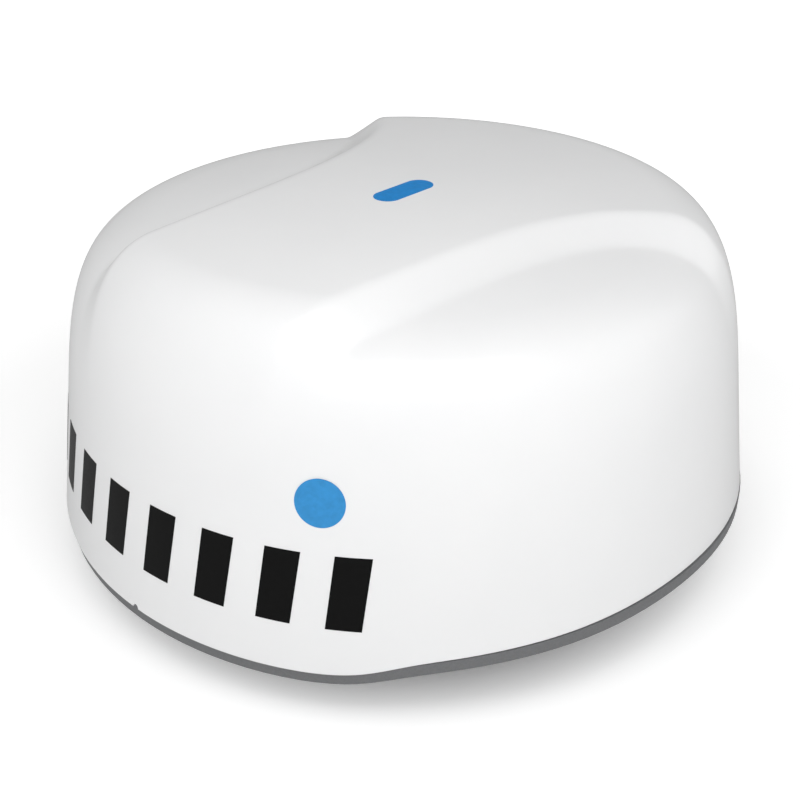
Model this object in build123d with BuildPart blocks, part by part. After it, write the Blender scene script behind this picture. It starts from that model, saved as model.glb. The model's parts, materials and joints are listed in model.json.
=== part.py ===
from build123d import *
from math import cos, hypot, radians, sin
import os

os.makedirs("parts", exist_ok=True)

# Marine radar dome antenna. Millimetres, +Z up, bow (the front) towards -Y, port side +X.

# ---------------------------------------------------------------- radome, outside form
HEIGHT = 248.5          # underside of the base to the crown
RIM_R = 254.4           # radius at the foot of the wall
RIM_Z = 35.3            # lowest height of the radome rim, at bow and stern
WALL_TOP_R = 238.5      # end of the drafted wall
WALL_TOP_Z = 142.7
CROWN_R = 175.4         # start of the nearly flat crown
CROWN_DROP = 1.5        # fall of the crown from centre to rim radius
SHOULDER_LOW = 0.43     # handle lengths of the shoulder curve, as parts of its chord
SHOULDER_HIGH = 0.38
SKIN = 4.5              # wall thickness of the radome
RIM_BAND_R = 243.8      # inner radius of the thicker band at the rim
RIM_BAND_H = 12

# side recesses left and right of the raised fore-and-aft band
LEDGE_CURVE = [(241.2, 131.4), (229.2, 205.6), (234, 226.6), (130, 232.8)]     # floor, wall to middle
BAND_LOW, BAND_LOW_SHIFT = 190, 58      # lower and upper outline of the band's sloping side
BAND_HIGH, BAND_HIGH_SHIFT = 258, -22
PORT_EDGE = [(96, -262), (100, -190), (104, -115), (108, -50), (115, 0), (131, 44), (149, 66),
             (173, 80), (208, 88), (262, 90)]
STARBOARD_EDGE = [(-74, -262), (-79, -190), (-85, -115), (-91, -50), (-99, 10), (-110, 56), (-128, 94),
                  (-156, 122), (-196, 134), (-262, 136)]

# rise of the rim from bow and stern to the middle of each side: distance from centre, rise
RIM_RISE = [(270, 0), (248, 0), (228, 0.1), (205, 2.7), (186, 9.2), (163, 13.3), (100, 17.5)]
RIM_ARCH = 21.5

# ---------------------------------------------------------------- lower housing
FLANGE_R = 252.4
FLANGE_T = 8
BOWL_FOOT_R = 198
BOWL_TOP_R = 218
FLOOR_T = 5
SEAL_IN, SEAL_OUT, SEAL_DEPTH = 246.8, 250.2, 2.5
LIP_IN, LIP_OUT, LIP_H = 239, 242.5, 5
BOLT_XY = 161.2         # cover bolts, on the diagonals
BOLT_HOLE_R = 3.4
PAD_TOP = 50            # seat of the radome posts
MOUNT_X, MOUNT_Y = 141.5, 233.4     # M10 mounting pattern
MOUNT_INSERT_R, MOUNT_THREAD_R, MOUNT_DEPTH = 8.5, 5, 20
BAY_X, BAY_Y, BAY_Z, BAY_WALL = 104, 110, 26, 5     # connector bay under the stern
SOCKET_X, SOCKET_Z = 27, 15.6

# ---------------------------------------------------------------- drive and antenna
PLATE_Z, PLATE_T = 58, 4
POST_X, POST_FRONT, POST_REAR = 66, -92, 100
HUB_R, HUB_TOP = 23, 94
BEARING_OUT, BEARING_IN, BEARING_W = 16, 10, 7
BELT_TEETH, MOTOR_TEETH, TOOTH_PITCH = 120, 20, 3
PULLEY_R = BELT_TEETH * TOOTH_PITCH / 6.2832
PINION_R = MOTOR_TEETH * TOOTH_PITCH / 6.2832
MOTOR_Y = -97
BELT_LOW, BELT_HIGH, BELT_T = 81.5, 95.5, 1.8
WEB_Z = 97
BRACKET_Z = 105
ARRAY_HALF, ARRAY_LOW, ARRAY_HIGH = 208, 112, 172


def name_and_export(builder, label):
    builder.part.label = label
    export_step(builder.part, "parts/" + label + ".step")


# ---------------------------------------------------------------- shared forms
def crown_height(r):
    return HEIGHT - CROWN_DROP * (r / RIM_R) ** 2


def shoulder_points(inset):
    """Four control points of the shoulder curve, moved inwards by inset."""
    chord = hypot(WALL_TOP_R - CROWN_R, crown_height(CROWN_R) - WALL_TOP_Z)
    lean_r, lean_z = WALL_TOP_R - RIM_R, WALL_TOP_Z - RIM_Z
    lean = hypot(lean_r, lean_z)
    low = SHOULDER_LOW * chord
    foot = (WALL_TOP_R - inset, WALL_TOP_Z)
    foot_handle = (foot[0] + low * lean_r / lean, foot[1] + low * lean_z / lean)
    top_z = crown_height(CROWN_R) - inset
    top_slope = 2 * CROWN_DROP * CROWN_R / RIM_R ** 2
    top_handle = (CROWN_R + SHOULDER_HIGH * chord, top_z - top_slope * SHOULDER_HIGH * chord)
    return foot, foot_handle, top_handle, (CROWN_R, top_z)


def dome_block(inset, bottom):
    """Solid turned body of the radome outline, moved inwards by inset."""
    foot, foot_handle, top_handle, top = shoulder_points(inset)
    slope = (WALL_TOP_R - RIM_R) / (WALL_TOP_Z - RIM_Z)
    start = (RIM_R - inset + slope * (bottom - RIM_Z), bottom)
    crown_handle = (CROWN_R / 2, HEIGHT - inset)
    with BuildPart() as block:
        with BuildSketch(Plane.XZ):
            with BuildLine():
                Line(start, foot)
                Bezier(foot, foot_handle, top_handle, top)
                Bezier(top, crown_handle, (0, HEIGHT - inset))
                Polyline((0, HEIGHT - inset), (0, bottom), start)
            make_face()
        revolve(axis=Axis.Z)
    return block.part


def band_outline(edge, shift):
    """One edge of the raised band from bow to quarter, moved to port by shift."""
    moved = []
    for index, (x, y) in enumerate(edge):
        ax, ay = edge[max(index - 1, 0)]
        bx, by = edge[min(index + 1, len(edge) - 1)]
        length = hypot(bx - ax, by - ay)
        moved.append((x + shift * (by - ay) / length, y - shift * (bx - ax) / length))
    return moved


def raised_band(inset):
    """Raised fore-and-aft band with sloping sides, reaching past the radome at bow and stern."""
    with BuildPart() as band:
        for height, shift in ((BAND_LOW, BAND_LOW_SHIFT), (BAND_HIGH, BAND_HIGH_SHIFT)):
            with BuildSketch(Plane.XY.offset(height - inset)):
                with BuildLine():
                    port = Spline(*band_outline(PORT_EDGE, shift - inset))
                    starboard = Spline(*band_outline(STARBOARD_EDGE, inset - shift))
                    Line(port @ 0, starboard @ 0)
                    Polyline(port @ 1, (300, 300), (-300, 300), starboard @ 1)
                make_face()
        loft(ruled=True)
        extrude(band.faces().sort_by(Axis.Z)[0], amount=BAND_LOW - WALL_TOP_Z + 20)
    return band.part


def recess_cutter(inset):
    """Everything above the recess floors left and right of the raised band."""
    foot, foot_handle, top_handle, top = [(r - dr * inset, z - dz * inset)
                                          for (r, z), dr, dz in zip(LEDGE_CURVE, (1, 1, 0, 0), (0, 0, 1, 1))]
    with BuildPart() as cutter:
        with BuildSketch(Plane.XZ):
            with BuildLine():
                Bezier(foot, foot_handle, top_handle, top)
                Polyline(top, (50, top[1] + 1), (50, 275), (290, 275), (290, foot[1]), foot)
            make_face()
        revolve(axis=Axis.Z)
        add(raised_band(inset), mode=Mode.SUBTRACT)
    return cutter.part


def rim_curve(shift):
    """Points of the rim line across the boat's length, moved up by shift."""
    fore = [(-y, RIM_Z + shift + rise) for y, rise in RIM_RISE]
    aft = [(y, RIM_Z + shift + rise) for y, rise in reversed(RIM_RISE)]
    return fore + [(0, RIM_Z + shift + RIM_ARCH)] + aft


def above_rim(shift):
    """Everything above the rim line moved up by shift."""
    reach, top = RIM_RISE[0][0], 300
    with BuildPart() as upper:
        with BuildSketch(Plane.YZ):
            with BuildLine():
                rim = Spline(*rim_curve(shift), tangents=((1, 0), (1, 0)))
                Polyline(rim @ 1, (reach, top), (-reach, top), rim @ 0)
            make_face()
        extrude(amount=reach, both=True)
    return upper.part


def ring(outer, inner, low, high):
    """Upright ring between two radii and two heights."""
    with BuildPart() as band:
        with BuildSketch(Plane.XY.offset(low)):
            Circle(outer)
            Circle(inner, mode=Mode.SUBTRACT)
        extrude(amount=high - low)
    return band.part


def rim_ring(outer, inner, low, high):
    """Ring that follows the rim line."""
    with BuildPart() as band:
        add(ring(outer, inner, 0, 120))
        add(above_rim(low), mode=Mode.INTERSECT)
        add(above_rim(high), mode=Mode.SUBTRACT)
    return band.part


def upright_cylinders(places, radius, low, high):
    """Equal upright cylinders at a list of plan positions."""
    with BuildPart() as group:
        with BuildSketch(Plane.XY.offset(low)):
            with Locations(*places):
                Circle(radius)
        extrude(amount=high - low)
    return group.part


def block(x0, x1, y0, y1, z0, z1):
    """Box given by its limits."""
    with BuildPart() as solid:
        with Locations(((x0 + x1) / 2, (y0 + y1) / 2, (z0 + z1) / 2)):
            Box(x1 - x0, y1 - y0, z1 - z0)
    return solid.part


def screws(places, head_r, head_low, head_h, shank_r, shank_end, drive_r):
    """Upright screws with a socket in the head; the shank runs away from the head."""
    top = head_low + head_h
    with BuildPart() as group:
        add(upright_cylinders(places, head_r, head_low, top))
        add(upright_cylinders(places, shank_r, min(shank_end, head_low), max(shank_end, head_low)))
        with BuildSketch(Plane.XY.offset(top)):
            with Locations(*places):
                RegularPolygon(drive_r, 6)
        extrude(amount=-head_h * 0.55, mode=Mode.SUBTRACT)
    return group.part


def lead(points, start, end, radius):
    """Round cable through a list of points, leaving and arriving in given directions."""
    with BuildPart() as cable:
        with BuildLine() as path:
            Spline(*points, tangents=(start, end))
        with BuildSketch(Plane(origin=path.line @ 0, z_dir=path.line % 0)):
            Circle(radius)
        sweep()
    return cable.part


bolt_places = [(x, y) for x in (-BOLT_XY, BOLT_XY) for y in (-BOLT_XY, BOLT_XY)]
mount_places = [(x, y) for x in (-MOUNT_X / 2, MOUNT_X / 2) for y in (-MOUNT_Y / 2, MOUNT_Y / 2)]
post_places = [(x, y) for x in (-POST_X, POST_X) for y in (POST_FRONT, POST_REAR)]
main_board_holes = [(-158, -60), (-158, 70), (-82, -78), (-82, 88)]
power_board_holes = [(158, -60), (158, 52), (82, -78), (82, 62)]
case_holes = [(x, y) for x in (-55, 55) for y in (-68, 68)]

# ---------------------------------------------------------------- lower housing
with BuildPart() as bowl_room:
    with BuildSketch(Plane.XZ):
        Polygon((0, FLOOR_T), (193, FLOOR_T), (199, FLOOR_T + 4), (213, 75), (0, 75), align=None)
    revolve(axis=Axis.Z)
    bay_half = BAY_X / 2 + BAY_WALL
    add(block(-bay_half, bay_half, BAY_Y - BAY_WALL, 260, -1, BAY_Z + BAY_WALL), mode=Mode.SUBTRACT)

with BuildPart() as lower_housing:
    with BuildSketch(Plane.XZ):
        Polygon((0, 0), (BOWL_FOOT_R, 0), (BOWL_FOOT_R + 5, 3), (BOWL_TOP_R, 75), (0, 75), align=None)
    revolve(axis=Axis.Z)
    # stiffening webs under the flange
    with BuildPart(mode=Mode.PRIVATE) as webs:
        with PolarLocations(216, 16, start_angle=11.25):
            Box(44, 4, 160)
        with BuildSketch(Plane.XZ):
            Polygon((BOWL_FOOT_R, 3), (206, 8), (232, 34), (232, 75), (BOWL_FOOT_R, 75), align=None)
        revolve(axis=Axis.Z, mode=Mode.INTERSECT)
    add(webs.part)
    # flange, cut to the rim line, with the locating lip left standing on it
    with BuildPart(mode=Mode.PRIVATE) as flange:
        add(ring(FLANGE_R, 205, 0, 75))
        add(above_rim(-FLANGE_T), mode=Mode.INTERSECT)
    add(flange.part)
    add(above_rim(LIP_H), mode=Mode.SUBTRACT)
    for outer, inner in ((LIP_IN, 0), (270, LIP_OUT)):
        with BuildPart(mode=Mode.PRIVATE) as clearing:
            with BuildSketch():
                Circle(outer)
                if inner:
                    Circle(inner, mode=Mode.SUBTRACT)
            extrude(amount=120)
            add(above_rim(0), mode=Mode.INTERSECT)
        add(clearing.part, mode=Mode.SUBTRACT)
    with BuildPart(mode=Mode.PRIVATE) as groove:
        add(ring(SEAL_OUT, SEAL_IN, 0, 120))
        add(above_rim(-SEAL_DEPTH), mode=Mode.INTERSECT)
    add(groove.part, mode=Mode.SUBTRACT)
    add(bowl_room.part, mode=Mode.SUBTRACT)
    add(upright_cylinders(bolt_places, 9.5, 34, PAD_TOP))
    add(upright_cylinders(mount_places, 13, 0, MOUNT_DEPTH + 6))
    add(upright_cylinders(post_places, 7, 0, PLATE_Z))
    add(upright_cylinders(case_holes, 6, 2, 8))
    add(upright_cylinders(main_board_holes + power_board_holes, 4, 2, 16))
    add(block(-BAY_X / 2, BAY_X / 2, BAY_Y, 260, -1, BAY_Z), mode=Mode.SUBTRACT)
    add(upright_cylinders(bolt_places, BOLT_HOLE_R, 30, 60), mode=Mode.SUBTRACT)
    add(upright_cylinders(mount_places, MOUNT_INSERT_R, -1, MOUNT_DEPTH), mode=Mode.SUBTRACT)
    add(upright_cylinders(post_places, 2.2, PLATE_Z - 18, PLATE_Z), mode=Mode.SUBTRACT)
    add(upright_cylinders(case_holes, 1.7, 3, 8), mode=Mode.SUBTRACT)
    add(upright_cylinders(main_board_holes + power_board_holes, 1.3, 6, 16), mode=Mode.SUBTRACT)
    # openings for the two sockets and the vent in the front wall of the bay
    with BuildSketch(Plane.XZ.offset(-BAY_Y - 1)):
        with Locations((-SOCKET_X, SOCKET_Z), (SOCKET_X, SOCKET_Z)):
            Circle(8.2)
        with Locations((0, SOCKET_Z)):
            Circle(4.2)
    extrude(amount=BAY_WALL + 2, mode=Mode.SUBTRACT)
name_and_export(lower_housing, "lower_housing")

with BuildPart() as cover_gasket:
    add(rim_ring(SEAL_OUT - 0.2, SEAL_IN + 0.2, -SEAL_DEPTH, 0.2))
name_and_export(cover_gasket, "cover_gasket")

with BuildPart() as mount_inserts:
    add(upright_cylinders(mount_places, MOUNT_INSERT_R, 0, MOUNT_DEPTH))
    add(upright_cylinders(mount_places, MOUNT_THREAD_R, -1, MOUNT_DEPTH + 1), mode=Mode.SUBTRACT)
name_and_export(mount_inserts, "mount_inserts")

# cover bolts: hexagon heads below the flange, captive in the lower housing
with BuildPart() as cover_bolts:
    with BuildSketch(Plane.XY.offset(32.5)):
        with Locations(*bolt_places):
            RegularPolygon(5.8, 6)
    extrude(amount=-5)
    add(upright_cylinders(bolt_places, 7.5, 31.5, 32.5))
    add(upright_cylinders(bolt_places, 3, 32.5, 62))
    fillet(cover_bolts.edges().group_by(Axis.Z)[-1], 0.6)
name_and_export(cover_bolts, "cover_bolts")

with BuildPart() as bolt_seals:
    add(upright_cylinders(bolt_places, 6.8, 32.5, 34))
    add(upright_cylinders(bolt_places, 3.1, 32, 35), mode=Mode.SUBTRACT)
name_and_export(bolt_seals, "bolt_seals")

# ---------------------------------------------------------------- radome
outer_skin = dome_block(0, 20)
inner_skin = dome_block(SKIN, 20)

with BuildPart() as radome_room:
    add(inner_skin)
    add(recess_cutter(SKIN), mode=Mode.SUBTRACT)

with BuildPart() as radome_shell:
    add(outer_skin)
    add(recess_cutter(0), mode=Mode.SUBTRACT)
    add(radome_room.part, mode=Mode.SUBTRACT)
    # thicker band along the rim
    with BuildPart(mode=Mode.PRIVATE) as rim_band:
        add(dome_block(1, 20))
        with BuildSketch(Plane.XY.offset(10)):
            Circle(RIM_BAND_R)
        extrude(amount=240, mode=Mode.SUBTRACT)
        add(above_rim(RIM_BAND_H), mode=Mode.SUBTRACT)
    add(rim_band.part)
    add(above_rim(0.3), mode=Mode.INTERSECT)
    # screw posts, each tied to the wall by a web
    with BuildPart(mode=Mode.PRIVATE) as posts:
        add(upright_cylinders(bolt_places, 8.5, PAD_TOP + 0.4, 96))
        with BuildSketch(Plane.XY.offset(62)):
            with PolarLocations(240, 4, start_angle=45):
                Rectangle(26, 5)
        extrude(amount=34)
        add(dome_block(1, 20), mode=Mode.INTERSECT)
    add(posts.part)
    add(upright_cylinders(bolt_places, 4.6, 40, 70), mode=Mode.SUBTRACT)
    # small moulded notch at the bow
    with BuildSketch(Plane.XZ.offset(240)):
        with Locations((0, RIM_Z)):
            Circle(3)
    extrude(amount=20, mode=Mode.SUBTRACT)
name_and_export(radome_shell, "radome_shell")

with BuildPart() as cover_inserts:
    add(upright_cylinders(bolt_places, 4.6, PAD_TOP + 0.4, 64))
    add(upright_cylinders(bolt_places, 3.2, 40, 70), mode=Mode.SUBTRACT)
name_and_export(cover_inserts, "cover_inserts")

# applied marks: plain bars on the bow, a plain round spot and a plain heading bar
with BuildPart() as heading_mark:
    with BuildSketch(Plane.XY.offset(HEIGHT)):
        SlotOverall(52, 20, rotation=90)
    extrude(amount=0.2)
name_and_export(heading_mark, "heading_mark")


def wall_mark(sketch_face, bearing):
    """Thin mark on the outside of the wall, cut from a flat outline seen from the given bearing."""
    with BuildPart() as mark:
        with BuildSketch(Plane.XZ.rotated((0, 0, bearing)).offset(0)):
            add(sketch_face)
        extrude(amount=300)
        add(dome_block(-0.2, 40), mode=Mode.INTERSECT)
        add(dome_block(0, 30), mode=Mode.SUBTRACT)
    return mark.part


with BuildSketch() as bar_outline:
    with Locations((0, 92)):
        Polygon((-14, -24), (8, -24), (14, 24), (-8, 24), align=None)
with BuildPart() as front_graphic:
    for bearing in (-35, -25, -15, -5, 5, 15, 25, 35):
        add(wall_mark(bar_outline.sketch, bearing))
name_and_export(front_graphic, "front_graphic")

with BuildSketch() as spot_outline:
    with Locations((0, 148)):
        Circle(15)
with BuildPart() as side_mark:
    add(wall_mark(spot_outline.sketch, 31))
name_and_export(side_mark, "side_mark")

# ---------------------------------------------------------------- connectors and vent in the bay
def bay_barrel(x, outer, inner, y_start, y_end):
    """Tube along Y at socket height."""
    with BuildPart() as tube:
        with BuildSketch(Plane.XZ.offset(-y_end)):
            with Locations((x, SOCKET_Z)):
                Circle(outer)
                if inner:
                    Circle(inner, mode=Mode.SUBTRACT)
        extrude(amount=y_end - y_start)
    return tube.part


def bay_socket(x, collar_r):
    """Panel socket: open barrel towards the stern, flange on the wall, closed tail inside."""
    with BuildPart() as socket:
        add(bay_barrel(x, 9.5, 0, BAY_Y, BAY_Y + 18))
        add(bay_barrel(x, collar_r, 0, BAY_Y, BAY_Y + 2.5))
        add(bay_barrel(x, 8, 0, BAY_Y - 13, BAY_Y))
        add(bay_barrel(x, 10.2, 0, BAY_Y - BAY_WALL - 3.5, BAY_Y - BAY_WALL - 0.1))
        add(bay_barrel(x, 7.4, 0, BAY_Y + 4, BAY_Y + 20), mode=Mode.SUBTRACT)
        with BuildSketch(Plane.XZ.offset(-BAY_Y - 20)):
            with Locations((x, SOCKET_Z + 8.6)):
                Rectangle(2.4, 3)
        extrude(amount=12, mode=Mode.SUBTRACT)
    return socket.part


def socket_pins(x, count, circle_r, pin_r):
    """Contact pins standing in a socket."""
    with BuildPart() as pins:
        with BuildSketch(Plane.XZ.offset(-BAY_Y - 4)):
            with Locations((x, SOCKET_Z)):
                with PolarLocations(circle_r, count):
                    Circle(pin_r)
        extrude(amount=-9)
    return pins.part


with BuildPart() as power_socket:
    add(bay_socket(SOCKET_X, 10.2))
name_and_export(power_socket, "power_socket")

with BuildPart() as power_pins:
    add(socket_pins(SOCKET_X, 3, 3.6, 1.2))
name_and_export(power_pins, "power_pins")

with BuildPart() as network_socket:
    add(bay_socket(-SOCKET_X, 10.2))
name_and_export(network_socket, "network_socket")

with BuildPart() as network_pins:
    add(socket_pins(-SOCKET_X, 8, 4.6, 0.6))
name_and_export(network_pins, "network_pins")

with BuildPart() as vent_plug:
    add(bay_barrel(0, 7, 0, BAY_Y + 0.1, BAY_Y + 4))
    add(bay_barrel(0, 4, 0, BAY_Y - 7, BAY_Y + 1))
    with BuildSketch(Plane.XZ.offset(-BAY_Y - 4)):
        with Locations((0, SOCKET_Z)):
            with PolarLocations(4.2, 6):
                Circle(0.8)
    extrude(amount=2, mode=Mode.SUBTRACT)
name_and_export(vent_plug, "vent_plug")

# ---------------------------------------------------------------- transceiver
with BuildPart() as transceiver_case:
    add(block(-62, 62, -75, 75, 8, 46))
    fillet(transceiver_case.edges().filter_by(Axis.Z), 6)
    add(block(-59, 59, -61, 61, 11, 50), mode=Mode.SUBTRACT)
    add(upright_cylinders(case_holes, 1.9, 5, 50), mode=Mode.SUBTRACT)
    # cooling ribs on both long sides
    with GridLocations(0, 12, 1, 9):
        with Locations((64, 0, 25), (-64, 0, 25)):
            Box(5, 2, 24)
name_and_export(transceiver_case, "transceiver_case")

with BuildPart() as transceiver_lid:
    add(block(-62, 62, -75, 75, 46, 48))
    fillet(transceiver_lid.edges().filter_by(Axis.Z), 6)
    add(upright_cylinders(case_holes, 1.9, 40, 50), mode=Mode.SUBTRACT)
name_and_export(transceiver_lid, "transceiver_lid")

with BuildPart() as case_screws:
    add(screws(case_holes, 3.2, 48, 2.4, 1.6, 4, 1.5))
name_and_export(case_screws, "case_screws")

with BuildPart() as transceiver_board:
    add(block(-57, 57, -59, 8, 16, 17.6))
    with Locations((-30, -35, 20.1), (5, -40, 19.6), (34, -15, 20.6)):
        Box(20, 16, 5)
    with GridLocations(12, 0, 6, 1):
        with Locations((0, -5, 18.6)):
            Box(6, 5, 2)
    add(upright_cylinders([(-50, -52), (50, -52), (-50, 2), (50, 2)], 3, 11, 16))
name_and_export(transceiver_board, "transceiver_board")

# pulse valve with its magnet yoke and cooling fins
with BuildPart() as magnetron:
    add(block(-30, 30, 16, 56, 11, 15))
    add(block(-30, -26, 16, 56, 15, 43))
    add(block(26, 30, 16, 56, 15, 43))
    with GridLocations(0, 0, 1, 1):
        with Locations(*[(0, 36, 17.5 + 3.6 * step) for step in range(7)]):
            Box(52, 34, 1.2)
    add(upright_cylinders([(0, 36)], 13, 15, 43))
name_and_export(magnetron, "magnetron")

# ---------------------------------------------------------------- drive chassis and bearings
with BuildPart() as drive_chassis:
    add(block(-76, 76, -124, 112, PLATE_Z, PLATE_Z + PLATE_T))
    fillet(drive_chassis.edges().filter_by(Axis.Z), 12)
    add(upright_cylinders([(0, 0)], HUB_R, PLATE_Z, HUB_TOP))
    with BuildSketch(Plane.XY.offset(PLATE_Z)):
        with PolarLocations(29, 4, start_angle=45):
            Rectangle(22, 4)
    extrude(amount=14)
    add(upright_cylinders([(0, 0)], 13.6, 50, 100), mode=Mode.SUBTRACT)
    add(upright_cylinders([(0, 0)], BEARING_OUT, 50, PLATE_Z + BEARING_W), mode=Mode.SUBTRACT)
    add(upright_cylinders([(0, 0)], BEARING_OUT, HUB_TOP - BEARING_W, 100), mode=Mode.SUBTRACT)
    add(upright_cylinders([(0, MOTOR_Y)], 11.3, 50, 70), mode=Mode.SUBTRACT)
    motor_screw_places = [(x, MOTOR_Y + y) for x in (-15.5, 15.5) for y in (-15.5, 15.5)]
    add(upright_cylinders(motor_screw_places, 1.8, 50, 70), mode=Mode.SUBTRACT)
    add(upright_cylinders(post_places, 2.7, 50, 70), mode=Mode.SUBTRACT)
    # lightening holes
    with BuildSketch(Plane.XY.offset(PLATE_Z)):
        with Locations((-45, 50), (45, 50), (-50, -50), (50, -50)):
            Circle(13)
        with Locations((0, 78)):
            SlotOverall(60, 24)
    extrude(amount=PLATE_T, mode=Mode.SUBTRACT)
    # upright flats beside the plate stiffen it fore and aft
    with Locations((74.5, 5, PLATE_Z + 8), (-74.5, 5, PLATE_Z + 8)):
        Box(3, 150, 16)
name_and_export(drive_chassis, "drive_chassis")

with BuildPart() as chassis_screws:
    add(screws(post_places, 4.5, PLATE_Z + PLATE_T, 4, 2.1, PLATE_Z - 14, 2.2))
name_and_export(chassis_screws, "chassis_screws")


def bearing_outer(low):
    """Outer ring with its two shields."""
    with BuildPart() as race:
        with BuildSketch(Plane.XZ):
            Polygon((BEARING_OUT, low), (BEARING_OUT, low + BEARING_W), (12.6, low + BEARING_W),
                    (12.6, low + BEARING_W - 0.6), (14.2, low + BEARING_W - 0.6),
                    (14.2, low + 0.6), (12.6, low + 0.6), (12.6, low), align=None)
        revolve(axis=Axis.Z)
    return race.part


def bearing_inner(low):
    """Inner ring."""
    with BuildPart() as race:
        add(ring(12.2, BEARING_IN, low, low + BEARING_W))
        chamfer(race.edges(), 0.3)
    return race.part


for label, low, maker in (("lower_bearing_outer", PLATE_Z, bearing_outer),
                          ("upper_bearing_outer", HUB_TOP - BEARING_W, bearing_outer),
                          ("lower_bearing_inner", PLATE_Z, bearing_inner),
                          ("upper_bearing_inner", HUB_TOP - BEARING_W, bearing_inner)):
    with BuildPart() as race:
        add(maker(low))
    name_and_export(race, label)

# ---------------------------------------------------------------- rotary joint
with BuildPart() as rotary_joint_stator:
    add(ring(14, 3, 48, 50))
    add(ring(4.1, 3, 48, 78))
name_and_export(rotary_joint_stator, "rotary_joint_stator")

with BuildPart() as rotary_joint_rotor:
    add(upright_cylinders([(0, 0)], 2, 56, 100))
    add(upright_cylinders([(0, 0)], 4.9, 88, 108))
    add(upright_cylinders([(0, 0)], 3.4, 108, 112))
name_and_export(rotary_joint_rotor, "rotary_joint_rotor")

# ---------------------------------------------------------------- turning assembly
with BuildPart() as antenna_shaft:
    add(ring(BEARING_IN - 0.02, 5, 52, BRACKET_Z - 4))
    add(ring(26, 5, BRACKET_Z - 4, BRACKET_Z))
    add(ring(12, 9.2, 55.4, 56.5), mode=Mode.SUBTRACT)
    hub_screw_places = [(18 * cos(radians(a)), 18 * sin(radians(a))) for a in (45, 135, 225, 315)]
    add(upright_cylinders(hub_screw_places, 2.2, 90, 110), mode=Mode.SUBTRACT)
name_and_export(antenna_shaft, "antenna_shaft")

with BuildPart() as shaft_clip:
    add(ring(12.4, 9.25, 55.5, 56.4))
    add(block(5, 14, -3, 3, 55, 57), mode=Mode.SUBTRACT)
name_and_export(shaft_clip, "shaft_clip")

with BuildPart() as driven_pulley:
    with BuildSketch(Plane.XY.offset(BELT_LOW - 1)):
        Circle(PULLEY_R)
        with PolarLocations(PULLEY_R, BELT_TEETH):
            Circle(0.8, mode=Mode.SUBTRACT)
        Circle(50, mode=Mode.SUBTRACT)
    extrude(amount=WEB_Z - BELT_LOW + 1)
    add(ring(61, 50, BELT_LOW - 3, BELT_LOW - 1))
    add(ring(61, BEARING_IN + 0.1, WEB_Z, WEB_Z + 4))
    with BuildSketch(Plane.XY.offset(WEB_Z)):
        with PolarLocations(38, 6):
            Circle(7)
        with Locations(*hub_screw_places):
            Circle(1.9)
    extrude(amount=4, mode=Mode.SUBTRACT)
name_and_export(driven_pulley, "driven_pulley")

with BuildPart() as hub_screws:
    add(screws(hub_screw_places, 3.5, BRACKET_Z + 3, 3, 1.8, WEB_Z + 0.5, 1.7))
name_and_export(hub_screws, "hub_screws")

# small magnet on the web passes the bow sensor once a turn
with BuildPart() as bow_magnet:
    add(upright_cylinders([(0, -30)], 3, WEB_Z - 4, WEB_Z))
name_and_export(bow_magnet, "bow_magnet")

with BuildPart() as bow_sensor:
    add(block(-7, 7, -33.6, -32, PLATE_Z + PLATE_T, 86))
    add(block(-3, 3, -32, -28, 80, 88))
    add(block(-7, 7, -38, -32, PLATE_Z + PLATE_T, PLATE_Z + PLATE_T + 3))
name_and_export(bow_sensor, "bow_sensor")

with BuildPart() as antenna_bracket:
    add(block(-62, 62, -24, 44, BRACKET_Z, BRACKET_Z + 3))
    add(block(-62, 62, -20.9, -17.9, BRACKET_Z, 166))
    for x in (-60.5, 60.5):
        with BuildSketch(Plane.YZ.offset(x)):
            Polygon((-18, BRACKET_Z + 3), (38, BRACKET_Z + 3), (-18, 160), align=None)
        extrude(amount=1.5, both=True)
    add(upright_cylinders([(0, 0)], 7, 100, 110), mode=Mode.SUBTRACT)
    add(upright_cylinders(hub_screw_places, 2.1, 100, 110), mode=Mode.SUBTRACT)
    with BuildSketch(Plane.XZ.offset(15)):
        with Locations((0, 142)):
            Circle(7)
        with Locations((-38, 140), (38, 140)):
            SlotOverall(34, 22, rotation=90)
        array_screw_places = [(x, z) for x in (-54, 54) for z in (122, 158)]
        with Locations(*array_screw_places):
            Circle(1.8)
    extrude(amount=8, mode=Mode.SUBTRACT)
name_and_export(antenna_bracket, "antenna_bracket")

# channel behind the radiating board
with BuildPart() as array_channel:
    add(block(-ARRAY_HALF, ARRAY_HALF, -38, -21, ARRAY_LOW, ARRAY_HIGH))
    add(block(-ARRAY_HALF - 1, ARRAY_HALF + 1, -39, -23.5, ARRAY_LOW + 2, ARRAY_HIGH - 2), mode=Mode.SUBTRACT)
    with BuildSketch(Plane.XZ.offset(20)):
        with Locations((0, 142)):
            Circle(4)
        with Locations(*array_screw_places):
            Circle(1.8)
    extrude(amount=5, mode=Mode.SUBTRACT)
name_and_export(array_channel, "array_channel")

with BuildPart() as array_board:
    add(block(-ARRAY_HALF + 2, ARRAY_HALF - 2, -36, -34.4, ARRAY_LOW + 2.2, ARRAY_HIGH - 2.2))
name_and_export(array_board, "array_board")

with BuildPart() as array_spacers:
    for x in (-190, -120, -54, 54, 120, 190):
        add(block(x - 6, x + 6, -34.4, -26.5, ARRAY_LOW + 6, ARRAY_HIGH - 6))
name_and_export(array_spacers, "array_spacers")

with BuildPart() as array_patches:
    with BuildSketch(Plane.XZ.offset(36)):
        with Locations((0, (ARRAY_LOW + ARRAY_HIGH) / 2)):
            with GridLocations(17, 26, 24, 2):
                Rectangle(10, 10)
    extrude(amount=0.4)
name_and_export(array_patches, "array_patches")

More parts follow.
